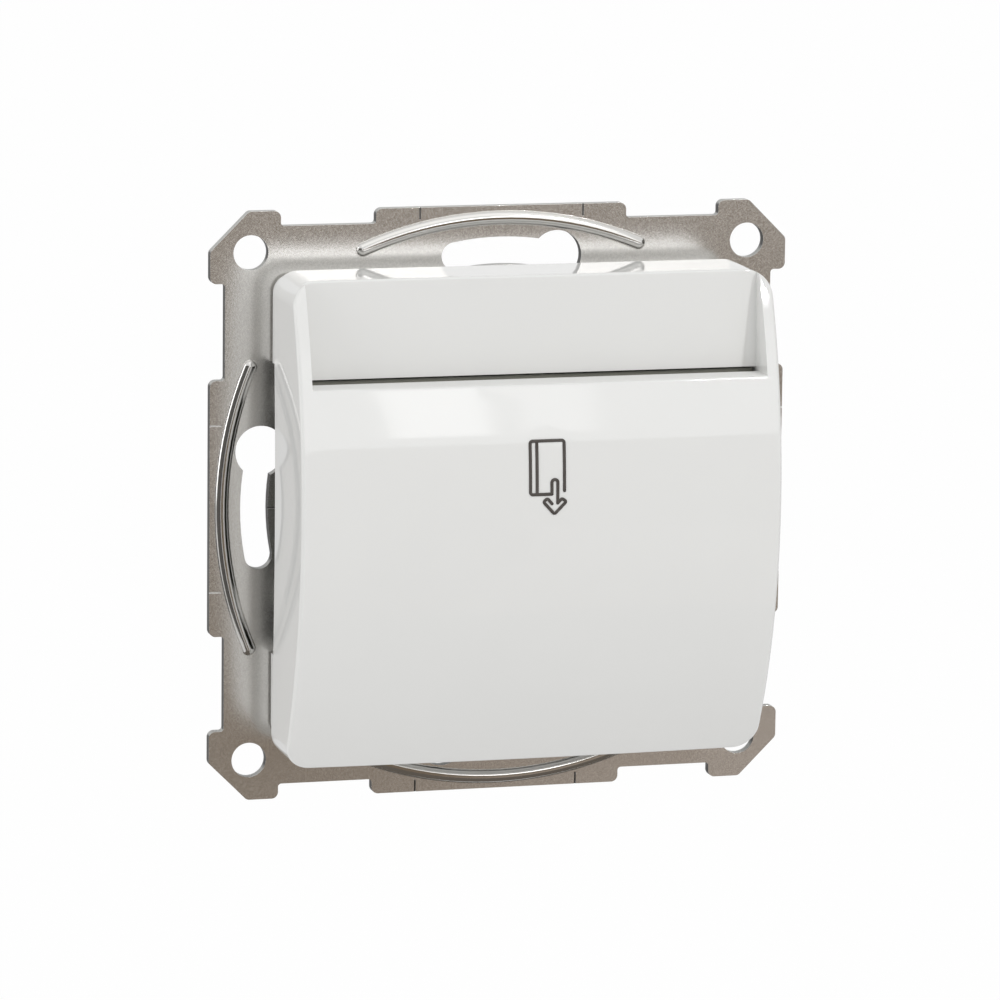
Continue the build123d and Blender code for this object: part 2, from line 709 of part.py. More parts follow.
# Pin of the arm, which also reaches the common strip
riser_right = -lug_inner_x - lug_thickness - strip_thickness
pin_left = riser_right - strip_thickness / 2
pin_right = lug_inner_x + lug_thickness
with BuildPart() as arm_pin:
    with BuildSketch(Plane.YZ.offset(pin_left - strip_thickness)):
        with Locations((hinge_behind, hinge_height)):
            Circle(hinge_pin_radius)
    extrude(amount=pin_right - pin_left + strip_thickness)

# Contact buttons
with BuildPart() as moving_contact:
    with BuildSketch(Plane.XZ.offset(-arm_front_behind - arm_thickness)):
        with Locations((0, contact_height)):
            Circle(contact_radius)
    extrude(amount=-contact_thickness)

with BuildPart() as fixed_contact:
    with BuildSketch(Plane.XZ.offset(-fixed_contact_behind)):
        with Locations((0, contact_height)):
            Circle(contact_radius)
    extrude(amount=-contact_thickness)

# Common strip: tongue of terminal 1, riser beside the arm and a leaf around the pin's end
riser_left = riser_right - strip_thickness
with BuildPart() as common_strip:
    with BuildSketch(Plane.XY.offset(tongue_underside)):
        with Locations((-terminal_x, tongue_front_behind)):
            Rectangle(tongue_width, rear_wall_behind - tongue_front_behind, align=(Align.CENTER, Align.MIN))
        with Locations((-terminal_x, terminal_behind)):
            Circle(terminal_screw_radius + terminal_screw_clearance, mode=Mode.SUBTRACT)
    extrude(amount=strip_thickness)
    with BuildSketch(Plane.XZ.offset(-tongue_front_behind)):
        with Locations((riser_right, tongue_underside)):
            Rectangle(riser_width, hinge_height + lug_half_height - tongue_underside,
                      align=(Align.MAX, Align.MIN))
    extrude(amount=-strip_thickness)
    with BuildSketch(Plane.YZ.offset(riser_left)):
        with Locations((hinge_behind - hinge_knuckle_radius, hinge_height)):
            Rectangle(tongue_front_behind + hinge_knuckle_radius - hinge_behind, 2 * lug_half_height,
                      align=(Align.MIN, Align.CENTER))
        with Locations((hinge_behind, hinge_height)):
            Circle(hinge_pin_radius, mode=Mode.SUBTRACT)
    extrude(amount=strip_thickness)

# Load strip: tongue of terminal 2, a step forward and the leaf that holds the fixed contact
leaf_front_behind = fixed_contact_behind + contact_thickness
leaf_low = contact_height - contact_radius - strip_thickness
leaf_high = contact_height + contact_radius + strip_thickness
leaf_right = terminal_x - tongue_width / 2
with BuildPart() as load_strip:
    with BuildSketch(Plane.XY.offset(tongue_underside)):
        with Locations((terminal_x, tongue_front_behind)):
            Rectangle(tongue_width, rear_wall_behind - tongue_front_behind, align=(Align.CENTER, Align.MIN))
        with Locations((terminal_x, terminal_behind)):
            Circle(terminal_screw_radius + terminal_screw_clearance, mode=Mode.SUBTRACT)
    extrude(amount=strip_thickness)
    with BuildSketch(Plane.XZ.offset(-tongue_front_behind)):
        with Locations((leaf_right, tongue_underside)):
            Rectangle(tongue_width / 2, leaf_high - tongue_underside, align=(Align.MIN, Align.MIN))
    extrude(amount=-strip_thickness)
    with BuildSketch(Plane.YZ.offset(leaf_right)):
        with Locations((leaf_front_behind, leaf_low)):
            Rectangle(tongue_front_behind + strip_thickness - leaf_front_behind, leaf_high - leaf_low,
                      align=(Align.MIN, Align.MIN))
    extrude(amount=strip_thickness)
    with BuildSketch(Plane.XZ.offset(-leaf_front_behind)):
        with Locations((-contact_radius, leaf_low)):
            Rectangle(leaf_right + strip_thickness + contact_radius, leaf_high - leaf_low,
                      align=(Align.MIN, Align.MIN))
    extrude(amount=-strip_thickness)


def terminal_screw(x):
    """Screw of one terminal: it points up, its head under the clamp."""
    with BuildPart() as screw:
        with BuildSketch(Plane.XY.offset(terminal_head_top - terminal_head_height)):
            with Locations((x, terminal_behind)):
                Circle(terminal_head_radius)
        extrude(amount=terminal_head_height)
        with BuildSketch(Plane.XY.offset(terminal_head_top)):
            with Locations((x, terminal_behind)):
                Circle(terminal_screw_radius)
        extrude(amount=tongue_top + 2 * strip_thickness - terminal_head_top)
        with BuildSketch(Plane.XY.offset(terminal_head_top - terminal_head_height)):
            with Locations((x, terminal_behind)):
                Rectangle(2 * terminal_head_radius, driver_slot_width)
        extrude(amount=driver_slot_depth, mode=Mode.SUBTRACT)
    return screw.part


def terminal_clamp(x):
    """Clamp plate of one terminal, carried by the head of its screw."""
    with BuildPart() as clamp:
        with BuildSketch(Plane.XY.offset(terminal_head_top)):
            with Locations((x, terminal_behind)):
                Rectangle(clamp_width, clamp_length)
                Circle(terminal_screw_radius, mode=Mode.SUBTRACT)
        extrude(amount=clamp_thickness)
    return clamp.part


# Every node of the assembly and its solid
nodes = {
    "support_frame": support_frame.part,
    "card_cover": card_cover.part,
    "card_symbol": card_symbol.part,
    "cover_carrier": cover_carrier.part,
    "card_guide": card_guide.part,
    "guide_screws": guide_screws,
    "carrier_screws": carrier_screws,
    "card_slider": card_slider.part,
    "return_spring": return_spring.part,
    "plunger": plunger.part,
    "housing_lid": housing_lid.part,
    "lid_screws": lid_screws,
    "base_housing": base_housing.part,
    "contact_arm": contact_arm.part,
    "arm_pin": arm_pin.part,
    "moving_contact": moving_contact.part,
    "fixed_contact": fixed_contact.part,
    "common_strip": common_strip.part,
    "load_strip": load_strip.part,
}
for number, side in ((1, -1), (2, 1)):
    nodes[f"terminal_screw_{number}"] = terminal_screw(side * terminal_x)
    nodes[f"terminal_clamp_{number}"] = terminal_clamp(side * terminal_x)

for node_name, solid in nodes.items():
    solid.label = node_name
    export_step(solid, f"parts/{node_name}.step")
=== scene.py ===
"""Hotel key card switch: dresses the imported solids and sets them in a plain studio.

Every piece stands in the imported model's own frame, in metres: X runs to the right, Y into the wall and Z up.
"""

import logging
import math
from dataclasses import dataclass
from enum import Enum
from functools import lru_cache
from typing import ClassVar

import bmesh
import bpy
from mathutils import Matrix, Vector


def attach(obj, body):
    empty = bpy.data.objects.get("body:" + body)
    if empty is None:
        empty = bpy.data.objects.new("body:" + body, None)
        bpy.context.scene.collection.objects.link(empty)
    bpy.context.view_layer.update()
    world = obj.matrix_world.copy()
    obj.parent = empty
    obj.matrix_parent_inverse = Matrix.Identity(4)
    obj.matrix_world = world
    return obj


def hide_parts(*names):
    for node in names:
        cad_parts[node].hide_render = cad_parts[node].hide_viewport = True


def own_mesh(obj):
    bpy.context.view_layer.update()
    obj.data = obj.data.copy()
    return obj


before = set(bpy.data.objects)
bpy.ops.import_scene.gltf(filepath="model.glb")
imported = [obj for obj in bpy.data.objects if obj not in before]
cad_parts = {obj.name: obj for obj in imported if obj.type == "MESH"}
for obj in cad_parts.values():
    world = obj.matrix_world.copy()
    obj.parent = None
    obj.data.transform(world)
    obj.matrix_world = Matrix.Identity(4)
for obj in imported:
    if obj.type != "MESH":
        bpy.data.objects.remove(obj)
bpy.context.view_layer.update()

log = logging.getLogger("key_card_switch")

MILLIMETRE = 0.001
Socket = bpy.types.NodeSocket
Colour = tuple[float, float, float]
Triple = tuple[float, float, float]


class Rides(Enum):
    """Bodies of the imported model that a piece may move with."""

    BODY = "body"
    SLIDER = "slider"
    PLUNGER = "plunger"
    ARM = "arm"
    TERMINAL_1 = "terminal_1"
    TERMINAL_2 = "terminal_2"


def blank_material(name: str) -> bpy.types.Material:
    """Makes a material with an empty node tree.

    Args:
        name: the material's name.

    Returns:
        The material.
    """
    material = bpy.data.materials.new(name)
    material.use_nodes = True
    material.node_tree.nodes.clear()
    return material


class MaterialSheet:
    """A new material's node tree, with short calls that add its nodes and join them.

    The mix node has sockets for each kind of data. The numbers below pick those for colours and for values.
    """

    colour_sockets: ClassVar[tuple[int, int]] = (6, 7)
    colour_result: ClassVar[int] = 2
    value_sockets: ClassVar[tuple[int, int]] = (2, 3)
    value_result: ClassVar[int] = 0
    noise_low: ClassVar[float] = 0.3
    noise_high: ClassVar[float] = 0.7
    edge_likeness_start: ClassVar[float] = 0.97
    edge_likeness_full: ClassVar[float] = 0.8
    edge_samples: ClassVar[int] = 4

    def __init__(self, name: str) -> None:
        """Starts a material that holds one shader.

        Args:
            name: the material's name.
        """
        self.material = blank_material(name)
        self.tree = self.material.node_tree
        output = self.add("ShaderNodeOutputMaterial")
        self.shader = self.add("ShaderNodeBsdfPrincipled")
        self.tree.links.new(self.shader.outputs["BSDF"], output.inputs["Surface"])
        self.place = self.add("ShaderNodeTexCoord")

    def add(self, kind: str, **settings: object) -> bpy.types.Node:
        """Adds one node.

        Args:
            kind: the node's type name.
            settings: attributes of the node and their values.

        Returns:
            The new node.
        """
        node = self.tree.nodes.new(kind)
        for key, value in settings.items():
            setattr(node, key, value)
        return node

    def feed(self, node: bpy.types.Node, **sources: object) -> bpy.types.Node:
        """Joins sockets to a node's inputs, or sets them to plain values.

        Args:
            node: the node whose inputs are fed.
            sources: input names, with underscores for spaces, and a socket or a value for each.

        Returns:
            The same node.
        """
        for key, source in sources.items():
            target = node.inputs[key.replace("_", " ")]
            if isinstance(source, bpy.types.NodeSocket):
                self.tree.links.new(source, target)
            else:
                target.default_value = source
        return node

    def noise(self, cell: float, detail: float = 2.0, stretch: Triple = (1.0, 1.0, 1.0)) -> Socket:
        """Adds a noise pattern on the object's own coordinates.

        Args:
            cell: rough size of one blotch or grain, in metres.
            detail: how many finer octaves it has.
            stretch: how much the pattern is drawn out along X, Y and Z.

        Returns:
            The pattern's value, about 0 to 1.
        """
        mapping = self.add("ShaderNodeMapping")
        mapping.inputs["Scale"].default_value = [1.0 / (cell * share) for share in stretch]
        self.tree.links.new(self.place.outputs["Object"], mapping.inputs["Vector"])
        pattern = self.add("ShaderNodeTexNoise")
        self.feed(pattern, Vector=mapping.outputs["Vector"], Scale=1.0, Detail=detail)
        return pattern.outputs["Fac"]

    def ramp(
        self, value: Socket, start: float, end: float, low: float | Socket, high: float | Socket
    ) -> Socket:
        """Maps a value from one range to another, and holds it at the ends.

        Args:
            value: the value to map.
            start: where the first range starts.
            end: where the first range ends.
            low: result at the start.
            high: result at the end.

        Returns:
            The mapped value.
        """
        node = self.add("ShaderNodeMapRange")
        self.feed(node, Value=value, From_Min=start, From_Max=end, To_Min=low, To_Max=high)
        return node.outputs["Result"]

    def spread(self, pattern: Socket, low: float, high: float) -> Socket:
        """Maps a noise pattern's usual values to a range.

        Args:
            pattern: the noise pattern.
            low: result where the pattern is low.
            high: result where it is high.

        Returns:
            The mapped pattern.
        """
        return self.ramp(pattern, self.noise_low, self.noise_high, low, high)

    def parts(self, coordinate: str) -> bpy.types.NodeOutputs:
        """Splits one of the object's own coordinates.

        Args:
            coordinate: "Object" for the place on the object, "Normal" for the way the surface faces.

        Returns:
            Its X, Y and Z outputs.
        """
        split = self.add("ShaderNodeSeparateXYZ")
        self.tree.links.new(self.place.outputs[coordinate], split.inputs[0])
        return split.outputs

    def mix(self, kind: str, share: Socket) -> bpy.types.Node:
        """Adds a mix node.

        Args:
            kind: the node's name for the kind of data.
            share: 0 for the first input, 1 for the second.

        Returns:
            The node, with both inputs still free.
        """
        node = self.add("ShaderNodeMix", data_type=kind)
        self.tree.links.new(share, node.inputs[0])
        return node

    def mix_colours(self, share: Socket, first: Colour | Socket, second: Colour | Socket) -> Socket:
        """Mixes two colours.

        Args:
            share: 0 for the first colour, 1 for the second.
            first: a colour or a socket.
            second: a colour or a socket.

        Returns:
            The mixed colour.
        """
        node = self.mix("RGBA", share)
        for number, source in zip(self.colour_sockets, (first, second)):
            if isinstance(source, bpy.types.NodeSocket):
                self.tree.links.new(source, node.inputs[number])
            else:
                node.inputs[number].default_value = (*source, 1.0)
        return node.outputs[self.colour_result]

    def mix_values(self, share: Socket, first: float | Socket, second: float | Socket) -> Socket:
        """Mixes two values.

        Args:
            share: 0 for the first value, 1 for the second.
            first: a value or a socket.
            second: a value or a socket.

        Returns:
            The mixed value.
        """
        node = self.mix("FLOAT", share)
        for number, source in zip(self.value_sockets, (first, second)):
            if isinstance(source, bpy.types.NodeSocket):
                self.tree.links.new(source, node.inputs[number])
            else:
                node.inputs[number].default_value = source
        return node.outputs[self.value_result]

    def bump(self, height: Socket, depth: float, under: Socket | None = None) -> Socket:
        """Adds relief to the surface.

        Args:
            height: the relief's pattern, 0 to 1.
            depth: how deep the relief is, in metres.
            under: a coarser relief that this one is laid on.

        Returns:
            The surface's new direction.
        """
        node = self.add("ShaderNodeBump")
        self.feed(node, Height=height, Distance=depth, Strength=1.0)
        if under is not None:
            self.tree.links.new(under, node.inputs["Normal"])
        return node.outputs["Normal"]

    def worn_edges(self, width: float) -> Socket:
        """Finds the edges of a piece, where handling wears it.

        Args:
            width: how far from an edge the wear reaches, in metres.

        Returns:
            1 on the edges, 0 away from them.
        """
        rounded = self.add("ShaderNodeBevel", samples=self.edge_samples)
        self.feed(rounded, Radius=width)
        surface = self.add("ShaderNodeNewGeometry")
        likeness = self.add("ShaderNodeVectorMath", operation="DOT_PRODUCT")
        self.tree.links.new(rounded.outputs["Normal"], likeness.inputs[0])
        self.tree.links.new(surface.outputs["Normal"], likeness.inputs[1])
        likeness_start, likeness_full = self.edge_likeness_start, self.edge_likeness_full
        return self.ramp(likeness.outputs["Value"], likeness_start, likeness_full, 0.0, 1.0)


@dataclass(frozen=True)
class MouldedPlastic:
    """Injection moulded plastic with a fine grain, slight blotches and edges that handling has polished."""

    name: str
    slot: str
    colour: Colour
    roughness: float = 0.4
    grain: float = 0.12 * MILLIMETRE
    grain_depth: float = 0.004 * MILLIMETRE
    ripple: float = 9.0 * MILLIMETRE
    ripple_depth: float = 0.0
    blotch_share: float = 0.03
    edge_width: float = 0.15 * MILLIMETRE
    edge_share: float = 0.06
    gloss_spread_share: float = 0.08
    edge_gloss_share: float = 0.8
    specular: float = 0.5
    rubbed_level: float = 0.0
    rubbed_roughness: float = 0.7
    upward_start: float = 0.7
    upward_full: float = 0.9

    def material(self) -> bpy.types.Material:
        """Builds the material.

        Returns:
            The finished material.
        """
        sheet = MaterialSheet(self.name)
        blotches = sheet.spread(sheet.noise(self.ripple), 0.0, 1.0)
        grain = sheet.noise(self.grain, detail=1.0)
        darker = tuple(part * (1.0 - self.blotch_share) for part in self.colour)
        colour = sheet.mix_colours(blotches, darker, self.colour)
        change = self.roughness * self.gloss_spread_share
        gloss = sheet.spread(grain, self.roughness - change, self.roughness + change)
        if self.edge_share > 0:
            edges = sheet.worn_edges(self.edge_width)
            paler = tuple(part + (1.0 - part) * self.edge_share for part in self.colour)
            colour = sheet.mix_colours(edges, colour, paler)
            gloss = sheet.mix_values(edges, gloss, self.roughness * self.edge_gloss_share)
        if self.rubbed_level > 0:
            gloss = sheet.mix_values(self.rubbed(sheet), gloss, self.rubbed_roughness)
        relief = sheet.bump(sheet.noise(self.ripple, detail=0.0), self.ripple_depth)
        relief = sheet.bump(grain, self.grain_depth, relief)
        sheet.feed(sheet.shader, Base_Color=colour, Roughness=gloss, Normal=relief)
        sheet.shader.inputs["Specular IOR Level"].default_value = self.specular
        return sheet.material

    def rubbed(self, sheet: MaterialSheet) -> Socket:
        """Finds the upward faces up to the rubbed level, which cards have made dull.

        Args:
            sheet: the material's node tree.

        Returns:
            1 on those faces, 0 away from them.
        """
        place = sheet.parts("Object")
        facing = sheet.parts("Normal")
        upward = sheet.ramp(facing["Z"], self.upward_start, self.upward_full, 0.0, 1.0)
        low = sheet.ramp(place["Z"], self.rubbed_level, self.rubbed_level + self.ripple, 1.0, 0.0)
        return sheet.mix_values(low, 0.0, upward)


@dataclass(frozen=True)
class BlastedSteel:
    """Stainless sheet: satin face, polished ribs, scratches; painted shade on the edge faces and the mark
    grooves near the middle, painted highlight on upward edge faces.
    """

    name: str
    slot: str
    colour: Colour
    polished: Colour
    # Painted shade colour for the sheet's edge faces, and a lighter painted highlight colour for the edge
    # faces that face up.
    edge_face_shade: Colour
    edge_face_top_highlight: Colour
    roughness: float
    polished_roughness: float
    plate_thickness: float
    mirror_share: float = 0.9
    depth_margin: float = 0.03 * MILLIMETRE
    sheared_roughness: float = 0.44
    smooth_level: float = 0.5
    sheared_start: float = 0.45
    sheared_full: float = 0.25
    facing_start: float = 0.3
    facing_full: float = 0.6
    grain: float = 0.21 * MILLIMETRE
    grain_depth: float = 0.005 * MILLIMETRE
    gloss_spread_share: float = 0.1
    speckle_low: float = 0.35
    speckle_high: float = 0.65
    speckle_share: float = 0.15
    blotch: float = 7.0 * MILLIMETRE
    blotch_share: float = 0.03
    scratch_width: float = 0.12 * MILLIMETRE
    scratch_stretch: float = 7.0
    scratch_start: float = 0.7
    scratch_full: float = 0.76
    scratch_area: float = 6.0 * MILLIMETRE
    area_start: float = 0.62
    area_full: float = 0.68
    # Painted shade colour for the mark grooves near the middle; grooves from the given distance outwards keep
    # the steel's colour.
    mark_shade_paint: Colour = (0.05, 0.047, 0.043)
    unshaded_marks_from: float = 33.5 * MILLIMETRE

    def material(self) -> bpy.types.Material:
        """Builds the material.

        Returns:
            The finished material.
        """
        sheet = MaterialSheet(self.name)
        place = sheet.parts("Object")
        facing = sheet.parts("Normal")
        front = -self.plate_thickness
        margin = self.depth_margin
        ribs = sheet.ramp(place["Y"], front - margin, front - 3 * margin, 0.0, 1.0)
        # Painted shade: faces turned sideways from the front, the sheet's edge faces, are painted nearly black
        # and non-metallic, standing for the dark surroundings that they mirror.
        steepness = sheet.add("ShaderNodeMath", operation="ABSOLUTE")
        sheet.tree.links.new(facing["Y"], steepness.inputs[0])
        edge_face_shade = sheet.ramp(steepness.outputs[0], self.sheared_start, self.sheared_full, 0.0, 1.0)
        sideways = sheet.add("ShaderNodeMath", operation="ABSOLUTE")
        sheet.tree.links.new(place["X"], sideways.inputs[0])
        forward = sheet.ramp(facing["Y"], -self.facing_start, -self.facing_full, 0.0, 1.0)
        # Painted shade: front-facing groove floors within the given distance of the middle are painted nearly
        # black and non-metallic, for the shade beside the cover.
        mark_shade_up_to = self.unshaded_marks_from - margin
        mark_shade_reach = sheet.ramp(sideways.outputs[0], mark_shade_up_to, self.unshaded_marks_from, forward, 0.0)
        shaded_marks = sheet.ramp(place["Y"], front + margin, front + 2 * margin, 0.0, mark_shade_reach)
        blotches = sheet.spread(sheet.noise(self.blotch, detail=3.0), 0.0, 1.0)
        grain = sheet.noise(self.grain, detail=2.0)
        lines = sheet.noise(self.scratch_width, stretch=(1.0, 1.0, self.scratch_stretch))
        lines = sheet.ramp(lines, self.scratch_start, self.scratch_full, 0.0, 1.0)
        handled = sheet.noise(self.scratch_area, detail=0.0)
        handled = sheet.ramp(handled, self.area_start, self.area_full, 0.0, 1.0)
        scratches = sheet.mix_values(handled, 0.0, lines)
        duller = tuple(part * (1.0 - self.blotch_share) for part in self.colour)
        colour = sheet.mix_colours(blotches, duller, self.colour)
        speckle = sheet.ramp(grain, self.speckle_low, self.speckle_high, 1.0, 0.0)
        darker = tuple(part * (1.0 - self.speckle_share) for part in self.colour)
        colour = sheet.mix_colours(speckle, colour, darker)
        colour = sheet.mix_colours(ribs, colour, self.polished)
        colour = sheet.mix_colours(shaded_marks, colour, self.mark_shade_paint)
        # Painted highlight: edge faces that face up get a lighter grey than the other edge faces, for the
        # light that falls on them from above.
        upward = sheet.ramp(facing["Z"], self.facing_start, self.facing_full, 0.0, 1.0)
        edge_face_light_and_shade = sheet.mix_colours(upward, self.edge_face_shade, self.edge_face_top_highlight)
        colour = sheet.mix_colours(edge_face_shade, colour, edge_face_light_and_shade)
        change = self.roughness * self.gloss_spread_share
        gloss = sheet.spread(grain, self.roughness - change, self.roughness + change)
        gloss = sheet.mix_values(scratches, gloss, self.polished_roughness)
        gloss = sheet.mix_values(ribs, gloss, self.polished_roughness)
        gloss = sheet.mix_values(edge_face_shade, gloss, self.sheared_roughness)
        depth = sheet.mix_values(ribs, grain, self.smooth_level)
        relief = sheet.bump(depth, self.grain_depth)
        bare = sheet.mix_values(ribs, self.mirror_share, 1.0)
        bare = sheet.mix_values(shaded_marks, bare, 0.0)
        bare = sheet.mix_values(edge_face_shade, bare, 0.0)
        sheet.feed(sheet.shader, Base_Color=colour, Roughness=gloss, Normal=relief, Metallic=bare)
        return sheet.material


@dataclass(frozen=True)
class PlainMetal:
    """Rolled, drawn or plated metal with fine drawing lines and slightly tarnished patches."""

    name: str
    slot: str
    colour: Colour
    tarnish: Colour
    roughness: float = 0.3
    line: float = 0.08 * MILLIMETRE
    line_depth: float = 0.003 * MILLIMETRE
    gloss_spread_share: float = 0.2
    edge_width: float = 0.16 * MILLIMETRE
    edge_gain: float = 1.15
    patch: float = 3.0 * MILLIMETRE
    patch_start: float = 0.45
    patch_full: float = 0.75
    drawn_along: Triple = (1.0, 1.0, 12.0)

    def material(self) -> bpy.types.Material:
        """Builds the material.

        Returns:
            The finished material.
        """
        sheet = MaterialSheet(self.name)
        patches = sheet.noise(self.patch, detail=4.0)
        patches = sheet.ramp(patches, self.patch_start, self.patch_full, 0.0, 1.0)
        lines = sheet.noise(self.line, detail=1.0, stretch=self.drawn_along)
        edges = sheet.worn_edges(self.edge_width)
        bright = tuple(min(1.0, part * self.edge_gain) for part in self.colour)
        colour = sheet.mix_colours(patches, self.colour, self.tarnish)
        colour = sheet.mix_colours(edges, colour, bright)
        change = self.roughness * self.gloss_spread_share
        gloss = sheet.spread(lines, self.roughness - change, self.roughness + change)
        sheet.feed(
            sheet.shader,
            Base_Color=colour,
            Roughness=gloss,
            Normal=sheet.bump(lines, self.line_depth),
            Metallic=1.0,
        )
        return sheet.material


Finish = MouldedPlastic | BlastedSteel | PlainMetal


@lru_cache(maxsize=None)
def material_of(finish: Finish) -> bpy.types.Material:
    """Gives a finish's material, made once.

    Args:
        finish: the finish that is wanted.

    Returns:
        Its material.
    """
    return finish.material()


COVER_WHITE = MouldedPlastic(
    "cover_white", "white_plastic", (0.795, 0.795, 0.78), roughness=0.05, grain=1.5 * MILLIMETRE,
    grain_depth=0.0, ripple=9.0 * MILLIMETRE, ripple_depth=0.012 * MILLIMETRE, blotch_share=0.008,
    edge_share=0.0, rubbed_level=18.0 * MILLIMETRE,
)
CARRIER_WHITE = MouldedPlastic(
    "carrier_white", "carrier_plastic", (0.795, 0.795, 0.78), roughness=0.3, blotch_share=0.012,
)
SYMBOL_INK = MouldedPlastic(
    "symbol_ink", "symbol_print", (0.072, 0.062, 0.055), roughness=0.55, grain=0.05 * MILLIMETRE,
    grain_depth=0.002 * MILLIMETRE, ripple=0.6 * MILLIMETRE, blotch_share=0.12, edge_share=0.0,
)
# Painted shade: the card guide is painted dark olive, standing for the shade inside the card slot.
GUIDE_SHADE_OLIVE = MouldedPlastic("guide_shade_olive", "guide_plastic", (0.24, 0.24, 0.20), roughness=0.5)
SLIDER_WHITE = MouldedPlastic("slider_white", "slider_plastic", (0.62, 0.62, 0.58), roughness=0.45)
PLUNGER_RED = MouldedPlastic("plunger_red", "plunger_plastic", (0.45, 0.03, 0.02), roughness=0.42)
LID_GREY = MouldedPlastic("lid_grey", "lid_plastic", (0.16, 0.165, 0.17), roughness=0.5)
HOUSING_BLACK = MouldedPlastic(
    "housing_black", "housing_plastic", (0.035, 0.035, 0.037), roughness=0.48, grain=0.2 * MILLIMETRE,
    grain_depth=0.012 * MILLIMETRE, blotch_share=0.15, edge_share=0.1,
)
# The frame's edge faces and central mark grooves carry painted shade, and its upward edge faces a painted
# highlight.
FRAME_STEEL = BlastedSteel(
    "frame_steel", "frame_steel", colour=(0.84, 0.825, 0.80), polished=(0.64, 0.63, 0.61),
    edge_face_shade=(0.03, 0.028, 0.026), edge_face_top_highlight=(0.42, 0.42, 0.40), roughness=0.22, polished_roughness=0.12,
    plate_thickness=1.2 * MILLIMETRE,
)
ZINC = PlainMetal("zinc_plate", "screw_steel", (0.55, 0.55, 0.53), (0.38, 0.38, 0.36), roughness=0.32)
YELLOW_ZINC = PlainMetal(
    "yellow_zinc", "terminal_steel", (0.6, 0.52, 0.32), (0.42, 0.34, 0.25), roughness=0.3,
)
SPRING_WIRE = PlainMetal(
    "spring_wire", "spring_steel", (0.42, 0.42, 0.42), (0.25, 0.24, 0.22), roughness=0.25,
)
BRASS = PlainMetal(
    "contact_brass", "contact_brass", (0.68, 0.47, 0.18), (0.42, 0.27, 0.1), roughness=0.28,
)
SILVER = PlainMetal(
    "contact_silver", "contact_silver", (0.72, 0.71, 0.67), (0.42, 0.4, 0.36), roughness=0.35,
)


@dataclass
class DressedSolid:
    """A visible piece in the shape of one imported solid, with small rounded edges and smooth curves."""

    node: str
    finish: Finish
    rides: Rides
    edge_radius: float = 0.08 * MILLIMETRE
    edge_segments: int = 2
    sharp_angle: float = math.radians(32)
    merge_distance: float = 0.0005 * MILLIMETRE
    flat_angle: float = math.radians(0.05)

    def build(self) -> bpy.types.Object:
        """Makes the piece from a merged copy of the solid's mesh.

        Returns:
            The piece, still undressed.
        """
        shape = bmesh.new()
        shape.from_mesh(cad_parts[self.node].data)
        bmesh.ops.remove_doubles(shape, verts=shape.verts, dist=self.merge_distance)
        bmesh.ops.dissolve_limit(
            shape,
            angle_limit=self.flat_angle,
            verts=shape.verts,
            edges=shape.edges,
            use_dissolve_boundaries=False,
        )
        for face in shape.faces:
            face.smooth = True
        mesh = bpy.data.meshes.new(f"{self.node}_dressed")
        shape.to_mesh(mesh)
        shape.free()
        piece = bpy.data.objects.new(f"{self.node}_dressed", mesh)
        bpy.context.scene.collection.objects.link(piece)
        return piece

    def dress(self, piece: bpy.types.Object) -> None:
        """Rounds the piece's edges, gives it its finish and ties it to the frame.

        Args:
            piece: the piece that build() made.
        """
        piece.data.materials.clear()
        piece.data.materials.append(material_of(self.finish))
        if self.edge_radius > 0:
            rounding = piece.modifiers.new("edge_rounding", "BEVEL")
            rounding.limit_method = "ANGLE"
            rounding.angle_limit = self.sharp_angle
            rounding.width = self.edge_radius
            rounding.segments = self.edge_segments
            rounding.use_clamp_overlap = True
            rounding.harden_normals = False
        smoothing = piece.modifiers.new("even_shading", "WEIGHTED_NORMAL")
        smoothing.keep_sharp = True
        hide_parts(self.node)
        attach(piece, self.rides.value)

    def make(self) -> bpy.types.Object:
        """Builds and dresses the piece.

        Returns:
            The finished piece.
        """
        piece = self.build()
        self.dress(piece)
        log.info("%s: %d faces, rides on %s", piece.name, len(piece.data.polygons), self.rides.value)
        return piece


@dataclass
class DressedSpring(DressedSolid):
    """An upright coil spring, dressed like the other solids and given a mesh of its own."""

    joint: str = ""

    def dress(self, piece: bpy.types.Object) -> None:
        """Dresses the spring and gives it a mesh of its own.

        Args:
            piece: the piece that build() made.
        """
        super().dress(piece)
        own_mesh(piece)


@dataclass
class FrontAssembly:
    """What shows from the front: the frame, the cover with its symbol, and the carrier behind the cover."""

    frame_edge: float = 0.035 * MILLIMETRE
    cover_edge: float = 0.14 * MILLIMETRE
    carrier_edge: float = 0.12 * MILLIMETRE

    def make(self) -> None:
        """Makes every piece of the front."""
        DressedSolid("support_frame", FRAME_STEEL, Rides.BODY, self.frame_edge).make()
        DressedSolid("card_cover", COVER_WHITE, Rides.BODY, self.cover_edge, edge_segments=3).make()
        DressedSolid("card_symbol", SYMBOL_INK, Rides.BODY, edge_radius=0.0).make()
        DressedSolid("cover_carrier", CARRIER_WHITE, Rides.BODY, self.carrier_edge).make()
        DressedSolid("carrier_screws", ZINC, Rides.BODY).make()


@dataclass
class CardTrack:
    """The guide behind the card and the sprung slider that the card pushes down."""

    guide_edge: float = 0.1 * MILLIMETRE
    screw_edge: float = 0.03 * MILLIMETRE

    def make(self) -> None:
        """Makes every piece of the card track."""
        DressedSolid("card_guide", GUIDE_SHADE_OLIVE, Rides.BODY, self.guide_edge).make()
        DressedSolid("guide_screws", ZINC, Rides.BODY, self.screw_edge).make()
        DressedSolid("card_slider", SLIDER_WHITE, Rides.SLIDER, self.guide_edge).make()
        DressedSpring("return_spring", SPRING_WIRE, Rides.BODY, edge_radius=0.0, joint="card_press").make()
        DressedSolid("plunger", PLUNGER_RED, Rides.PLUNGER).make()


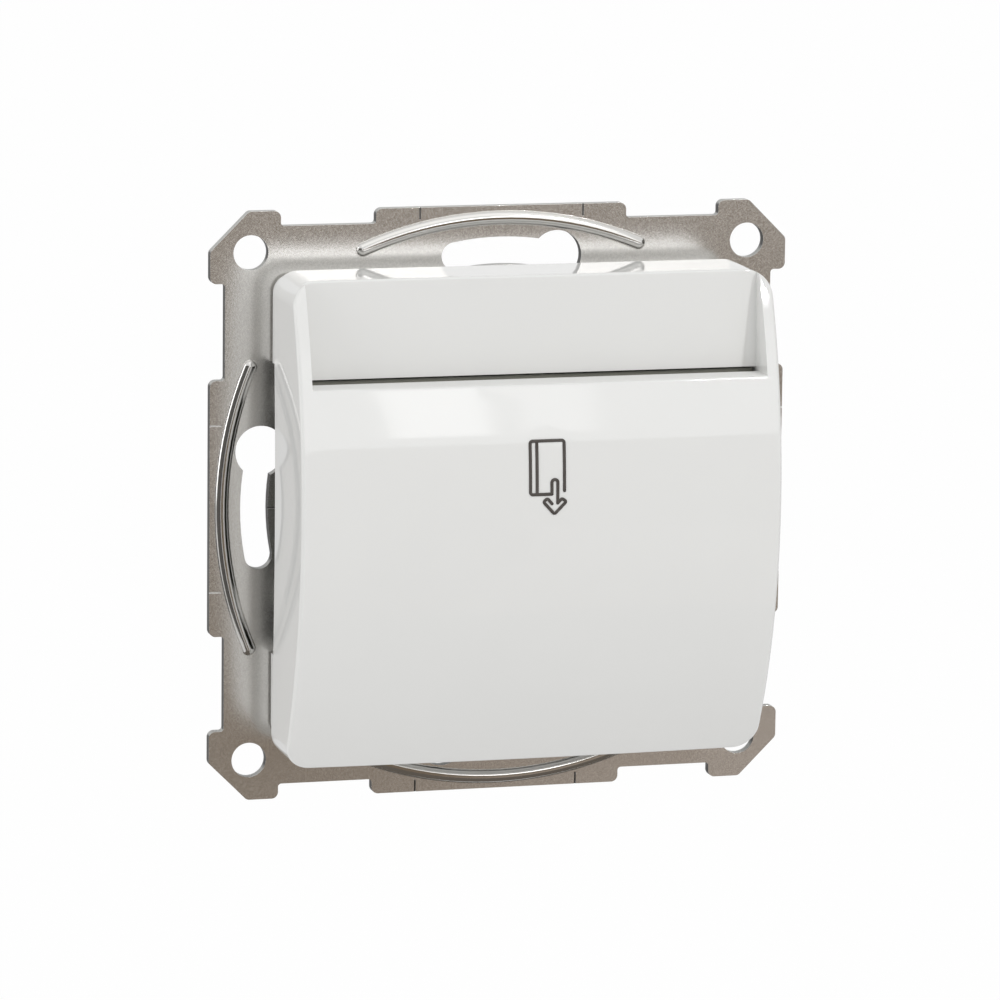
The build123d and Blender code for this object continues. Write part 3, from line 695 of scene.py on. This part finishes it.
@dataclass
class SwitchHousing:
    """The housing behind the frame, its lid and the contacts inside."""

    housing_edge: float = 0.25 * MILLIMETRE
    strip_edge: float = 0.06 * MILLIMETRE

    def make(self) -> None:
        """Makes every piece of the switch itself."""
        DressedSolid("base_housing", HOUSING_BLACK, Rides.BODY, self.housing_edge).make()
        DressedSolid("housing_lid", LID_GREY, Rides.BODY).make()
        DressedSolid("lid_screws", ZINC, Rides.BODY).make()
        DressedSolid("contact_arm", BRASS, Rides.ARM, self.strip_edge).make()
        DressedSolid("moving_contact", SILVER, Rides.ARM).make()
        DressedSolid("arm_pin", ZINC, Rides.BODY).make()
        DressedSolid("fixed_contact", SILVER, Rides.BODY).make()
        DressedSolid("common_strip", BRASS, Rides.BODY, self.strip_edge).make()
        DressedSolid("load_strip", BRASS, Rides.BODY, self.strip_edge).make()


@dataclass
class Terminals:
    """The two wire terminals: a screw and the clamp plate that it lifts."""

    edge: float = 0.08 * MILLIMETRE

    def make(self) -> None:
        """Makes both terminals."""
        for number, rides in ((1, Rides.TERMINAL_1), (2, Rides.TERMINAL_2)):
            DressedSolid(f"terminal_screw_{number}", YELLOW_ZINC, rides, self.edge).make()
            DressedSolid(f"terminal_clamp_{number}", YELLOW_ZINC, rides, self.edge).make()


def direction(azimuth: float, elevation: float) -> Vector:
    """Gives the direction from the object to a point around it.

    Args:
        azimuth: degrees to the right of straight ahead, as seen from the front.
        elevation: degrees above the level.

    Returns:
        The direction, with length 1.
    """
    turn = math.radians(azimuth)
    rise = math.radians(elevation)
    return Vector((math.sin(turn) * math.cos(rise), -math.cos(turn) * math.cos(rise), math.sin(rise)))


def flat_square(name: str, half_width: float) -> bpy.types.Object:
    """Makes a flat square of the studio, which is no part of the object.

    Args:
        name: the square's name.
        half_width: from its middle to its edges, in metres.

    Returns:
        The square, at the origin and facing up, with an empty material of the same name.
    """
    shape = bmesh.new()
    bmesh.ops.create_grid(shape, x_segments=1, y_segments=1, size=half_width)
    mesh = bpy.data.meshes.new(name)
    shape.to_mesh(mesh)
    shape.free()
    mesh.materials.append(blank_material(name))
    square = bpy.data.objects.new(name, mesh)
    bpy.context.scene.collection.objects.link(square)
    return square


@dataclass(frozen=True)
class SoftBox:
    """A rectangular lamp that points at the object's middle."""

    name: str
    azimuth: float
    elevation: float
    distance: float
    width: float
    height: float
    radiance: float

    def make(self) -> None:
        """Makes the lamp."""
        outwards = direction(self.azimuth, self.elevation)
        lamp = bpy.data.lights.new(self.name, "AREA")
        lamp.shape = "RECTANGLE"
        lamp.size = self.width
        lamp.size_y = self.height
        lamp.energy = self.radiance * math.pi * self.width * self.height
        holder = bpy.data.objects.new(self.name, lamp)
        holder.location = outwards * self.distance
        holder.rotation_mode = "QUATERNION"
        holder.rotation_quaternion = outwards.to_track_quat("Z", "Y")
        bpy.context.scene.collection.objects.link(holder)


@dataclass(frozen=True)
class GreyCard:
    """A grey card near the object, which shows only where a surface mirrors it."""

    name: str
    azimuth: float
    elevation: float
    distance: float
    half_width: float
    radiance: Colour

    def make(self) -> None:
        """Makes the card."""
        outwards = direction(self.azimuth, self.elevation)
        card = flat_square(self.name, self.half_width)
        card.location = outwards * self.distance
        card.rotation_mode = "QUATERNION"
        card.rotation_quaternion = outwards.to_track_quat("Z", "Y")
        card.visible_camera = False
        card.visible_diffuse = False
        card.visible_shadow = False
        tree = card.active_material.node_tree
        glow = tree.nodes.new("ShaderNodeEmission")
        glow.inputs["Color"].default_value = (*self.radiance, 1)
        output = tree.nodes.new("ShaderNodeOutputMaterial")
        tree.links.new(glow.outputs[0], output.inputs["Surface"])


@dataclass
class Studio:
    """A white room with a pale floor, an even sky, soft boxes and grey cards."""

    floor_height: float = -0.3
    floor_half: float = 6.0
    floor_colour: Colour = (0.88, 0.88, 0.88)
    floor_white_share: float = 0.98
    sky_light: float = 0.635
    sky_white: float = 1.0
    lamps: tuple[SoftBox, ...] = (
        SoftBox("key_lamp", azimuth=28, elevation=35, distance=1.2, width=0.08, height=0.08, radiance=155),
        SoftBox("top_box", azimuth=10, elevation=60, distance=0.9, width=0.9, height=0.6, radiance=0.35),
        SoftBox("front_box", azimuth=16, elevation=14, distance=1.5, width=0.9, height=0.7, radiance=0.5),
        SoftBox("side_box", azimuth=-80, elevation=10, distance=1.2, width=0.8, height=0.8, radiance=1.6),
        SoftBox(
            "left_window", azimuth=11.8, elevation=12.5, distance=1.4,
            width=0.083, height=0.235, radiance=2.8,
        ),
        SoftBox(
            "right_window", azimuth=16.0, elevation=12.5, distance=1.4,
            width=0.083, height=0.235, radiance=1.3,
        ),
    )
    cards: tuple[GreyCard, ...] = (
        GreyCard(
            "front_card", azimuth=9, elevation=-17, distance=0.42,
            half_width=0.17, radiance=(0.20, 0.155, 0.112),
        ),
        GreyCard(
            "corner_card", azimuth=27, elevation=-25, distance=0.4,
            half_width=0.085, radiance=(0.37, 0.31, 0.26),
        ),
        GreyCard(
            "left_card", azimuth=-52, elevation=-4, distance=0.5,
            half_width=0.28, radiance=(0.12, 0.115, 0.11),
        ),
        GreyCard(
            "right_card", azimuth=88, elevation=-4, distance=0.5,
            half_width=0.28, radiance=(0.12, 0.115, 0.11),
        ),
        GreyCard(
            "low_card", azimuth=0, elevation=-75, distance=0.28,
            half_width=0.25, radiance=(0.16, 0.14, 0.12),
        ),
    )

    def make(self) -> None:
        """Makes the floor, the sky, the lamps and the cards."""
        self.make_floor()
        self.make_sky()
        for lamp in self.lamps:
            lamp.make()
        for card in self.cards:
            card.make()
        log.info("studio: floor, sky, %d soft boxes and %d cards", len(self.lamps), len(self.cards))

    def make_floor(self) -> None:
        """Lays the floor, which is white to the camera except where the object shades it."""
        floor = flat_square("studio_floor", self.floor_half)
        for corner in floor.data.vertices:
            corner.co.z = self.floor_height
        tree = floor.active_material.node_tree
        paint = tree.nodes.new("ShaderNodeBsdfDiffuse")
        paint.inputs["Color"].default_value = (*self.floor_colour, 1)
        white = tree.nodes.new("ShaderNodeEmission")
        share = tree.nodes.new("ShaderNodeMath")
        share.operation = "MULTIPLY"
        share.inputs[1].default_value = self.floor_white_share
        path = tree.nodes.new("ShaderNodeLightPath")
        blend = tree.nodes.new("ShaderNodeMixShader")
        output = tree.nodes.new("ShaderNodeOutputMaterial")
        tree.links.new(path.outputs["Is Camera Ray"], share.inputs[0])
        tree.links.new(share.outputs[0], blend.inputs[0])
        tree.links.new(paint.outputs[0], blend.inputs[1])
        tree.links.new(white.outputs[0], blend.inputs[2])
        tree.links.new(blend.outputs[0], output.inputs["Surface"])

    def make_sky(self) -> None:
        """Makes the sky: white to the camera and in reflections, and a plain even light on the object."""
        world = bpy.data.worlds.new("studio_sky")
        world.use_nodes = True
        tree = world.node_tree
        tree.nodes.clear()
        path = tree.nodes.new("ShaderNodeLightPath")
        behind = tree.nodes.new("ShaderNodeMath")
        behind.operation = "MAXIMUM"
        seen = tree.nodes.new("ShaderNodeMath")
        seen.operation = "MAXIMUM"
        strength = tree.nodes.new("ShaderNodeMapRange")
        strength.inputs["To Min"].default_value = self.sky_light
        strength.inputs["To Max"].default_value = self.sky_white
        background = tree.nodes.new("ShaderNodeBackground")
        background.inputs["Color"].default_value = (1, 1, 1, 1)
        output = tree.nodes.new("ShaderNodeOutputWorld")
        tree.links.new(path.outputs["Is Camera Ray"], behind.inputs[0])
        tree.links.new(path.outputs["Is Transmission Ray"], behind.inputs[1])
        tree.links.new(behind.outputs[0], seen.inputs[0])
        tree.links.new(path.outputs["Is Glossy Ray"], seen.inputs[1])
        tree.links.new(seen.outputs[0], strength.inputs["Value"])
        tree.links.new(strength.outputs[0], background.inputs["Strength"])
        tree.links.new(background.outputs[0], output.inputs["Surface"])
        bpy.context.scene.world = world


@dataclass(frozen=True)
class PhotoCamera:
    """The camera, where the photograph was taken from. Angles in degrees, lengths in metres."""

    azimuth: float = -15.404
    elevation: float = 10.368
    roll: float = 0.684
    distance: float = 0.731709
    target: Triple = (0.00052221, 0.0, -0.00035302)
    lens: float = 219.09
    sensor: float = 36.0
    nearest: float = 0.01
    farthest: float = 100.0

    def make(self) -> None:
        """Makes the camera and sets it as the scene's own."""
        lean = math.radians(self.roll)
        back = direction(self.azimuth, self.elevation)
        right = Vector((0, 0, 1)).cross(back).normalized()
        upward = back.cross(right)
        leaned_right = right * math.cos(lean) + upward * math.sin(lean)
        leaned_up = upward * math.cos(lean) - right * math.sin(lean)
        lens = bpy.data.cameras.new("photo_camera")
        lens.lens = self.lens
        lens.sensor_width = self.sensor
        lens.clip_start = self.nearest
        lens.clip_end = self.farthest
        camera = bpy.data.objects.new("photo_camera", lens)
        turned = Matrix((leaned_right, leaned_up, back)).transposed()
        camera.matrix_world = Matrix.Translation(Vector(self.target) + back * self.distance) @ turned.to_4x4()
        bpy.context.scene.collection.objects.link(camera)
        bpy.context.scene.camera = camera
        log.info("camera: %.0f mm lens at %.3f m", self.lens, self.distance)


def main() -> None:
    """Builds every sub-assembly in order, then the studio and the camera."""
    logging.basicConfig(level=logging.INFO, format="%(name)s %(message)s")
    bpy.context.scene.view_settings.view_transform = "Standard"
    FrontAssembly().make()
    CardTrack().make()
    SwitchHousing().make()
    Terminals().make()
    Studio().make()
    PhotoCamera().make()


if __name__ == "__main__":
    main()
